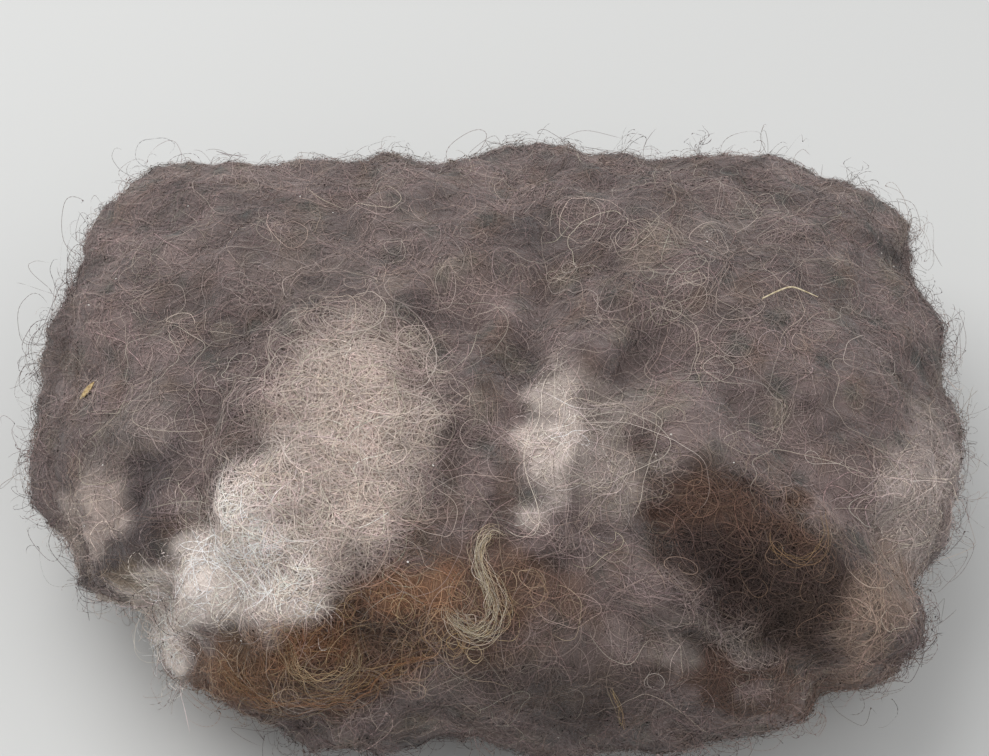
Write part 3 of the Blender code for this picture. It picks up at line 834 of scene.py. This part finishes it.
def smooth_path(rows, steps):
    """Even steps along a soft curve through the rows of a table."""
    rows = np.array(rows, dtype=float)
    last = len(rows) - 1
    out = []
    for step in range(steps + 1):
        place = last * step / steps
        number = min(int(place), last - 1)
        share = place - number
        before = rows[max(number - 1, 0)]
        start = rows[number]
        end = rows[number + 1]
        after = rows[min(number + 2, last)]
        out.append(0.5 * (2.0 * start + (end - before) * share
                          + (2.0 * before - 5.0 * start + 4.0 * end - after) * share ** 2
                          + (3.0 * start - before - 3.0 * end + after) * share ** 3))
    return np.array(out)


def mass_body(skin, look):
    body = add_piece("mass_body", skin.points, skin.faces.tolist(), look,
                     colour_at(skin.points) * 0.8)
    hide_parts("wool_mass")


def clump_body(name, look):
    """The clump's own form on finer rings, a little rough."""
    centre_u, centre_v, half_length, half_width, turn, rise, depth, wave = CLUMPS[name]
    shares = (np.arange(1, CLUMP_RINGS + 1) / CLUMP_RINGS) ** 0.8
    spoke = np.arange(CLUMP_SPOKES)
    after = (spoke + 1) % CLUMP_SPOKES
    angles = FULL_TURN * spoke / CLUMP_SPOKES
    cos_t, sin_t = turned(turn)
    wavy = 1.0 + wave * np.sin(3.0 * angles + 0.6) + 0.6 * wave * np.sin(5.0 * angles + 2.1)
    along = (shares[:, None] * half_length * wavy * np.cos(angles)).ravel()
    across = (shares[:, None] * half_width * wavy * np.sin(angles)).ravel()
    u = np.concatenate([[centre_u], centre_u + along * cos_t - across * sin_t])
    v = np.concatenate([[centre_v], centre_v + along * sin_t + across * cos_t])
    ring = np.concatenate([[0.0], np.repeat(shares, CLUMP_SPOKES)])
    base = seen_points(u, v)
    out = normals_at(base, 8.0)
    out = unit(CLUMP_LEAN * unit(out.mean(axis=0)) + (1.0 - CLUMP_LEAN) * out)
    rough = roughness_at(base) * (1.0 - ring ** 6)
    lift = RIM_ABOVE + (rise - CLUMP_UNDER - RIM_ABOVE) * (1.0 - ring ** 2.2) + rough
    sink = RIM_BELOW + (depth - RIM_BELOW) * (1.0 - ring ** 3.0)
    points = np.vstack([base + out * lift[:, None], base - out * sink[:, None]])
    count = len(base)
    faces = []
    for level in (0, count):
        hub = np.stack([np.full(CLUMP_SPOKES, level), level + 1 + spoke, level + 1 + after], -1)
        faces.extend((hub if level == 0 else hub[:, ::-1]).tolist())
        for number in range(CLUMP_RINGS - 1):
            inner = level + 1 + number * CLUMP_SPOKES
            outer = inner + CLUMP_SPOKES
            quad = np.stack([inner + spoke, outer + spoke, outer + after, inner + after], -1)
            faces.extend((quad if level == 0 else quad[:, ::-1]).tolist())
    edge = 1 + (CLUMP_RINGS - 1) * CLUMP_SPOKES
    wall = np.stack([edge + spoke, count + edge + spoke, count + edge + after, edge + after], -1)
    faces.extend(wall.tolist())
    body = add_piece(name + "_body", points, faces, look, colour_at(points) * 0.9)
    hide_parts(name)


def own_and_local(picks, paths, roots):
    """A hair's own colour from about its root, mixed with that of the wool it crosses."""
    own = colour_at(roots + picks.normal(0.0, 2.0, roots.shape))
    return OWN_SHARE * own[:, None] + (1.0 - OWN_SHARE) * colours_along(paths, 6)


def loose_down(skin, look):
    """Down all over: most of it where it shows, little on the underside."""
    lying = smooth_step(2.0, 14.0, skin.at[:, 2])
    patchy = np.clip(1.0 + 0.3 * wobble(skin.at, 41, 16, 10.0, 30.0), 0.4, 1.8)
    weights = skin.area * (0.08 + 0.92 * lying) * patchy
    for number in range(DOWN_PIECES):
        picks = np.random.default_rng(100 + number)
        roots, outs = skin.roots(picks, DOWN_HAIRS, weights)
        paths = laid_paths(picks, roots, outs, DOWN_POINTS, STEP, *DOWN_CURL,
                           (0.05, 0.6 + 0.4 * number))
        tones = own_and_local(picks, paths, roots) * (0.96 + 0.08 * number)
        add_hairs("loose_down_" + "abcd"[number], picks, paths, outs, DOWN_WIDTH, tones, 0.16, 0.15,
                  look)


def tuft_hair(skin, name, look):
    """More hair on a clump."""
    count = TUFT_HAIRS[name]
    picks = np.random.default_rng(200 + count)
    u, v, near = seen_place(skin.at)
    share = smooth_step(1.25, 0.85, oval(u, v, *CLUMPS[name][:5]))
    roots, outs = skin.roots(picks, count, skin.area * share * (near > -5.0))
    paths = laid_paths(picks, roots, outs, DOWN_POINTS, STEP, *DOWN_CURL, TUFT_LIFT)
    tones = own_and_local(picks, paths, roots)
    add_hairs(name + "_hair", picks, paths, outs, DOWN_WIDTH, tones, 0.13, 0.15, look)


def shares_in(skin, base, places):
    """How thickly hairs are rooted on each face of the mass."""
    u, v, near = seen_place(skin.at)
    share = np.full(len(u), base)
    for amount, *place in places:
        share += amount * within(u, v, place) * (near > -15.0)
    return share


def toward(local, share, colour):
    """The wool's own colour, lit a little and brought part of the way to another."""
    return local * 1.3 + share * (colour - local * 1.3)


def guard_hairs(skin, look):
    """Long pale hairs in loops, thickest on the pale clump and at the far right."""
    picks = np.random.default_rng(300)
    u, v, _ = seen_place(skin.at)
    share = shares_in(skin, GUARD_BASE, GUARD_PLACES)
    share *= 1.0 - 0.85 * within(u, v, FEW_GUARDS)
    weights = skin.area * share * smooth_step(1.0, 12.0, skin.at[:, 2])
    roots, outs = skin.roots(picks, GUARD_HAIRS, weights)
    paths = laid_paths(picks, roots, outs, GUARD_POINTS, GUARD_STEP, *GUARD_CURL, GUARD_LIFT)
    local = colours_along(paths, 12)
    local *= 1.0 - 0.3 * smooth_step(0.2, 0.5, local.mean(axis=2, keepdims=True))
    pale = np.array(CREAM) * picks.uniform(0.6, 1.0, (GUARD_HAIRS, 1, 1))
    strong = picks.uniform(0.0, 1.0, (GUARD_HAIRS, 1, 1)) ** 1.5
    bright = np.clip(local.mean(axis=2, keepdims=True) / 0.17, 0.25, 1.0)
    tones = toward(local, strong * bright, pale)
    add_long_hairs("guard_hairs", picks, paths, GUARD_WIDTH, tones, 0.12, look)


def curly_loops(skin, look):
    """Small loops of straw-coloured hair, most of them over the rust clump."""
    picks = np.random.default_rng(320)
    share = shares_in(skin, LOOP_BASE, LOOP_PLACES)
    weights = skin.area * share * smooth_step(1.0, 12.0, skin.at[:, 2])
    roots, outs = skin.roots(picks, LOOP_HAIRS, weights)
    paths = laid_paths(picks, roots, outs, LOOP_POINTS, LOOP_STEP, *LOOP_CURL, LOOP_LIFT)
    local = colours_along(paths, 8)
    u, v, _ = seen_place(roots)
    straw = np.array(GOLD) + picks.uniform(0.0, 1.0, (LOOP_HAIRS, 1, 1)) * (
        np.array(STRAW) - np.array(GOLD))
    plain = 0.72 * np.array(CREAM)
    straw = plain + within(u, v, STRAW_LOOPS)[:, None, None] * (straw - plain)
    straw = straw + within(u, v, BROWN_LOOPS)[:, None, None] * (np.array(BROWN) - straw)
    strong = picks.uniform(0.15, 1.0, (LOOP_HAIRS, 1, 1))
    bright = np.clip(local.mean(axis=2, keepdims=True) / 0.06, 0.4, 1.0)
    tones = toward(local, strong * bright, straw)
    add_long_hairs("curly_loops", picks, paths, LOOP_WIDTH, tones, 0.15, look)


def wandering(picks, strands, share, length):
    """How far each strand lies from a bundle's middle line, in half thicknesses."""
    wander = picks.normal(0.0, 0.55, (strands, 1)) + picks.normal(0.0, 0.5, (strands, 1)) * share
    for wave, power in ((30.0, 0.45), (14.0, 0.35), (6.5, 0.22)):
        turns = length / wave * picks.uniform(0.7, 1.3, (strands, 1))
        phase = picks.uniform(0.0, FULL_TURN, (strands, 1))
        height = picks.normal(0.0, power, (strands, 1))
        wander = wander + height * np.sin(FULL_TURN * turns * share + phase)
    return wander


def cut_unevenly(picks, paths, share):
    """Strands that begin and end at places of their own."""
    strands, steps = paths.shape[:2]
    first = picks.uniform(0.0, 0.16, (strands, 1))
    last = 1.0 - picks.uniform(0.0, 0.16, (strands, 1))
    spots = (first + share * (last - first)) * (steps - 1.0)
    before = np.minimum(spots.astype(int), steps - 2)
    part = (spots - before)[..., None]
    strand = np.arange(strands)[:, None]
    return paths[strand, before] * (1.0 - part) + paths[strand, before + 1] * part


def bundle(name, rows, strands, radius, shades, seed, steps, look):
    """Strands that wander about one curve on the wool."""
    picks = np.random.default_rng(seed)
    rows = smooth_path(rows, steps)
    base = seen_points(rows[:, 0], rows[:, 1])
    out = normals_at(base, 5.0)
    for _ in range(4):
        out[1:-1] = unit(out[:-2] + out[1:-1] + out[2:])
        base[1:-1] = (base[:-2] + 2.0 * base[1:-1] + base[2:]) / 4.0
    u, v, _ = seen_place(base)
    over_clump = clump_rise(u, v, np.ones(len(u)))
    middle = base + out * (rows[:, 2] * 0.3 + 1.0 + over_clump)[:, None]
    ahead = unit(np.gradient(middle, axis=0))
    side = unit(np.cross(ahead, out))
    share = np.linspace(0.0, 1.0, len(rows))
    length = np.linalg.norm(np.diff(middle, axis=0), axis=1).sum()
    sideways = wandering(picks, strands, share, length)
    outward = wandering(picks, strands, share, length)
    fray = 1.0 + 1.6 * np.clip(np.abs(share - 0.5) * 2.0 - 0.7, 0.0, 1.0)
    thick = (rows[:, 2] + 0.25) * fray
    paths = (middle + side * (sideways * thick * 1.1)[..., None]
             + out * np.clip(outward * thick * 0.7, -0.9, 2.4)[..., None])
    paths = cut_unevenly(picks, paths, share)
    taper = np.clip(np.minimum(share, 1.0 - share) * 14.0, 0.3, 1.0)
    radii = radius * picks.uniform(0.65, 1.35, (strands, 1)) * taper
    points, faces = hair_tubes(paths, radii, STRAND_SIDES, out[None])
    mix = picks.uniform(0.0, 1.0, (strands, 1))
    tones = np.array(shades[0]) + mix * (np.array(shades[1]) - np.array(shades[0]))
    colours = hair_colours(picks, tones, len(rows), 0.3).reshape(strands, len(rows), 1, 3)
    colours = np.repeat(colours, STRAND_SIDES, axis=2).reshape(-1, 3)
    return add_piece(name, points, faces, look, colours)


def near_clump(point):
    u, v, near = seen_place(point.reshape(1, 3))
    if near[0] < -10.0:
        return False
    for centre_u, centre_v, length, width, turn, *_ in CLUMPS.values():
        if oval(u, v, centre_u, centre_v, length + 6.0, width + 6.0, turn)[0] < 1.0:
            return True
    return False


def rim_lock_paths():
    """The curves of the solid's rim locks, with a direction across each."""
    paths = []
    across = []
    for number in range(RIM_LOCKS):
        around = FULL_TURN * (number + 0.3 * math.sin(7.3 * number)) / RIM_LOCKS
        level = (0.10, -0.26, 0.34, -0.08, 0.52)[number % 5] + 0.05 * math.sin(3.1 * number)
        root = surface(np.array([[HALF_WIDTH * math.cos(around), HALF_DEPTH * math.sin(around),
                                  HALF_HEIGHT * level * 1.3]]))
        out = normals_at(root, 6.0)[0]
        side = unit(np.cross(UPWARD, out))
        over = np.cross(out, side)
        length = RIM_LOCK_LENGTH * (1.0 + 0.35 * math.sin(2.7 * number + 0.4))
        lean = 2.4 * math.sin(1.9 * number)
        bend = side * math.cos(lean) + over * math.sin(lean)
        curl = RIM_LOCK_CURL * (1.0 + 0.3 * math.sin(4.3 * number))
        step = length / (RIM_LOCK_RINGS - 1)
        spot = root[0] - out * 2.4
        path = []
        for ring in range(RIM_LOCK_RINGS):
            path.append(spot)
            turn = RIM_LOCK_LEAN + curl * ring / (RIM_LOCK_RINGS - 1)
            spot = spot + (out * math.cos(turn) + bend * math.sin(turn)) * step
        path = np.array(path)
        crowded = path[:, 2].min() < RIM_LOCK_FLOOR or any(near_clump(place) for place in path)
        for other in paths:
            gaps = np.linalg.norm(path[:, None, :] - other[None, :, :], axis=2)
            crowded = crowded or gaps.min() < RIM_LOCK_ROOM
        if not crowded:
            paths.append(path)
            across.append(unit(np.cross(out, bend)))
    return paths, across


def rim_wisps(look):
    """Each rim lock as a wisp of hairs."""
    picks = np.random.default_rng(500)
    share = np.linspace(0.0, 1.0, WISP_POINTS)[:, None]
    hairs = []
    outs = []
    for curve, across in zip(*rim_lock_paths()):
        fine = smooth_path(curve, WISP_POINTS - 1)
        scale = WISP_FAR_SHARE if curve[0, 1] > 0.7 * HALF_DEPTH else 1.0
        for _ in range(WISP_HAIRS):
            start = fine[0] + picks.normal(0.0, 0.9, 3)
            rel = (fine - fine[0]) * picks.uniform(0.4, 0.9) * scale
            turn = picks.normal(0.0, 0.22, 3)
            rel = rel + np.cross(turn, rel) * (0.6 + 0.8 * share)
            for way in picks.normal(0.0, 0.75, (3, 3)):
                rel = rel + way * share * np.sin(share * picks.uniform(3.0, 11.0))
            hairs.append(start + rel)
            outs.append(across + FRIZZ_FACING)
    paths = pressed_flat(np.array(hairs))
    add_hairs("rim_wisps", picks, paths, unit(np.array(outs)), WISP_WIDTH,
              colour_at(paths[:, 3]) * 0.8, 0.3, 0.4, look)


def rim_frizz(skin, look, row, seed):
    """Loose hairs that stand out around the rim and lie low where the top was pressed."""
    name, count, steps, step, width, bend, stand = row
    picks = np.random.default_rng(seed)
    level = np.abs(skin.out[:, 2])
    weights = skin.area * (0.12 + 1.6 * np.exp(-(level / 0.45) ** 2))
    weights *= smooth_step(3.0, 12.0, skin.at[:, 2])
    roots, outs = skin.roots(picks, count, weights)
    ways = outs * stand * np.exp(-(outs[:, 2:] / 0.7) ** 2) + picks.normal(0.0, 0.5, outs.shape)
    paths = standing_paths(picks, roots, ways, outs, steps, step, bend)
    height = np.einsum("nkx,nx->nk", paths - roots[:, None], outs)
    far = smooth_step(0.1, 0.7, outs[:, 1])[:, None]
    reach = FRIZZ_REACH + far * (FRIZZ_REACH_FAR - FRIZZ_REACH)
    pressed = smooth_step(0.35, 0.9, outs[:, 2])[:, None]
    target = reach * np.tanh(np.abs(height) / reach) * (1.0 - 0.75 * pressed)
    paths = pressed_flat(paths + (target - height)[..., None] * outs[:, None])
    add_hairs(name, picks, paths, np.tile(FRIZZ_FACING, (count, 1)), width,
              colour_at(roots) * 0.75, 0.35, 0.6, look)


def seed_husk(look):
    """Flat pointed husk with fine ribs."""
    u, v, length, width, thickness, turn, gap = HUSK
    base = seen_points([u], [v])
    out = normals_at(base, 6.0)[0]
    side = unit(np.cross(VIEW_UP, out))
    over = np.cross(out, side)
    cos_t, sin_t = turned(turn)
    along = side * cos_t + over * sin_t
    across = over * cos_t - side * sin_t
    middle = base[0] + out * (gap + thickness / 2.0)
    share = np.arange(1, HUSK_STEPS)[:, None, None] / HUSK_STEPS
    angle = FULL_TURN * np.arange(HUSK_SIDES)[:, None] / HUSK_SIDES
    wide = width / 2.0 * np.sin(math.pi * share) ** 0.8
    thick = thickness / 2.0 * np.sin(math.pi * share) ** 0.6
    rib = 1.0 + 0.06 * np.sin(9.0 * angle)
    rings = (middle + along * (share - 0.5) * length + across * wide * rib * np.cos(angle)
             + out * thick * rib * np.sin(angle))
    half = along * length * 0.5
    points = np.vstack([rings.reshape(-1, 3), middle - half, middle + half])
    faces = tube_walls(HUSK_STEPS - 1, HUSK_SIDES).tolist()
    start = (HUSK_STEPS - 1) * HUSK_SIDES
    end = start - HUSK_SIDES
    for corner in range(HUSK_SIDES):
        after = (corner + 1) % HUSK_SIDES
        faces.append((start, after, corner))
        faces.append((start + 1, end + corner, end + after))
    husk = add_piece("seed_husk_body", points, faces, look)
    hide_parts("seed_husk")


def straw_bit(look):
    """A thin bent stem lying on the wool."""
    rows = smooth_path(STRAW_BIT, 24)
    base = seen_points(rows[:, 0], rows[:, 1])
    out = normals_at(base, 8.0)
    middle = base + unit(out.mean(axis=0)) * 2.2
    points, faces = hair_tubes(middle[None], rows[None, :, 2], 8, out[None])
    add_piece("straw_bit", points, faces, look)


def specks(skin, look):
    """Tiny pale flakes caught among the hairs."""
    picks = np.random.default_rng(700)
    roots, outs = skin.roots(picks, SPECKS, skin.area * (skin.at[:, 2] > 20.0))
    side, over = side_ways(outs)
    points = []
    faces = []
    for root, out, first, second in zip(roots, outs, side, over):
        spot = root + out * picks.uniform(0.9, 1.8)
        start = len(points)
        sizes = SPECK_RADIUS * picks.uniform(0.4, 1.2, 6)
        for corner, size in enumerate(sizes):
            angle = FULL_TURN * corner / 6.0
            points.append(spot + first * size * math.cos(angle) + second * size * math.sin(angle))
        points.append(spot + out * 0.1)
        points.append(spot - out * 0.1)
        for corner in range(6):
            after = (corner + 1) % 6
            faces.append((start + corner, start + after, start + 6))
            faces.append((start + after, start + corner, start + 7))
    add_piece("pale_specks", np.array(points), faces, look)


def make_stage():
    """Plain pale floor, soft light."""
    look, _, shader, _ = new_material("plain_floor", 0.8, 0.2, 0.0)
    shader.inputs["Base Color"].default_value = FLOOR_COLOUR
    mesh = bpy.data.meshes.new("floor")
    mesh.from_pydata([(-3, -3, 0), (3, -3, 0), (3, 3, 0), (-3, 3, 0)], [], [(0, 1, 2, 3)])
    mesh.materials.append(look)
    floor = new_object("floor", mesh)

    world = bpy.data.worlds.new("studio")
    world.use_nodes = True
    sky = world.node_tree.nodes["Background"]
    sky.inputs["Color"].default_value = SKY_COLOUR
    sky.inputs["Strength"].default_value = SKY_STRENGTH
    bpy.context.scene.world = world
    for name, place, size, power in LAMPS:
        lamp = bpy.data.lights.new(name, "AREA")
        lamp.size = size
        lamp.energy = power
        item = new_object(name, lamp)
        item.location = place
        item.rotation_euler = (LAMP_AIM - Vector(place)).to_track_quat("-Z", "Y").to_euler()


def make_camera():
    eye = TARGET + PLACE + VIEW_BACK * VIEW_DISTANCE
    aim = TARGET + PLACE + VIEW_SIDE * MIDDLE_U + VIEW_UP * MIDDLE_V
    lens = bpy.data.cameras.new("camera")
    lens.sensor_width = SENSOR
    lens.lens = SENSOR * VIEW_DISTANCE / PICTURE_WIDTH
    lens.clip_start = 0.01
    lens.clip_end = 20.0
    camera = new_object("camera", lens)
    camera.location = Vector(eye * MM)
    camera.rotation_euler = Vector(aim - eye).to_track_quat("-Z", "Y").to_euler()
    bpy.context.scene.camera = camera
    bpy.context.scene.view_settings.view_transform = "Standard"


def make_pieces():
    skin = Skin()
    down = fibre_material("down_fibre", 0.7, 0.06, 900.0, 0.12)
    guard = fibre_material("guard_hair", 0.42, 0.1, 500.0, 0.10)
    mass_body(skin, tangle_material("matted_down", 0.9, 0.8, 1.15))
    clump_body("pale_tuft", tangle_material("matted_pale_down", 0.9, 0.92, 1.1))
    clump_body("rust_tuft", tangle_material("matted_rust_hair", 0.85, 0.6, 1.3))
    clump_body("dark_tuft", tangle_material("matted_dark_hair", 0.85, 0.55, 1.5))
    loose_down(skin, down)
    for name in CLUMPS:
        tuft_hair(skin, name, down)
    guard_hairs(skin, guard)
    curly_loops(skin, guard)
    lock = bundle("blonde_lock_strands", LOCK_PATH, 40, 0.046, (STRAW, CREAM), 400, 64, guard)
    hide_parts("blonde_lock")
    for number, (name, (strands, radius, shades, rows)) in enumerate(BUNDLES.items()):
        bundle(name, rows, strands, radius, shades, 410 + number, 40, guard)
    rim_wisps(down)
    for number, row in enumerate(FRIZZ):
        rim_frizz(skin, down, row, 600 + number)
    seed_husk(streaked_material("dry_husk", 0.55, 1400.0, (0.26, 0.16, 0.06), (0.66, 0.50, 0.25)))
    straw = streaked_material("dry_straw", 0.5, 900.0, (0.42, 0.33, 0.19), (0.78, 0.68, 0.48))
    straw_bit(straw)
    specks(skin, streaked_material("pale_flake", 0.6, 2000.0, (0.55, 0.50, 0.45), (0.85, 0.82, 0.78)))


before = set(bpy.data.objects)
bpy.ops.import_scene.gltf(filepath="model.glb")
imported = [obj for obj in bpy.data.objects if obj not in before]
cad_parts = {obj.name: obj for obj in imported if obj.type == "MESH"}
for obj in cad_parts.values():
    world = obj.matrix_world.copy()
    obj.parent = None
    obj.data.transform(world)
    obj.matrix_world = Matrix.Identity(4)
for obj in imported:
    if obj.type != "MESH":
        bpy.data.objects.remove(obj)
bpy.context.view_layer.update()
make_camera()
make_stage()
make_pieces()
